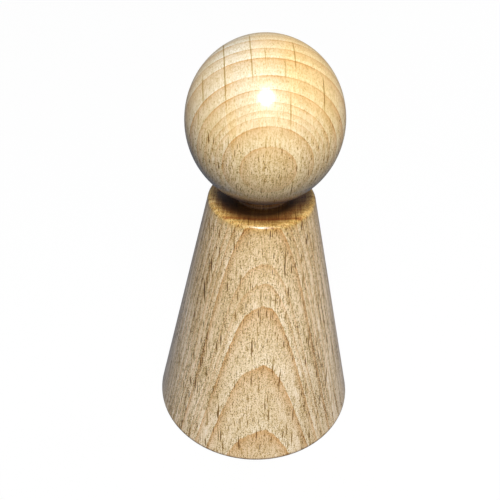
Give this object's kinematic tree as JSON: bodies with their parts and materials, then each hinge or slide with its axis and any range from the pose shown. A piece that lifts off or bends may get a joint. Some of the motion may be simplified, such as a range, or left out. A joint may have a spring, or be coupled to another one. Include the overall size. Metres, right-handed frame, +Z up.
{
  "type": "wooden peg doll",
  "caption": "Plain turned beech peg doll: an oval ball head glued by a dowel to a conical body with a short neck and a flat base.",
  "frame": {"origin": "centre of the flat base", "axes": "+Z up the turning axis from the base to the top of the head; the doll looks the same all round, and -Y is the side that the picture shows"},
  "size_m": [0.0452, 0.0452, 0.09],
  "materials": {
    "turned_beech": "satin clear varnish",
    "dowel_beech": "raw, compressed when fluted"
  },
  "bodies": {
    "root": {"head": "turned_beech", "body": "turned_beech", "dowel": "dowel_beech"}
  },
  "joints": []
}
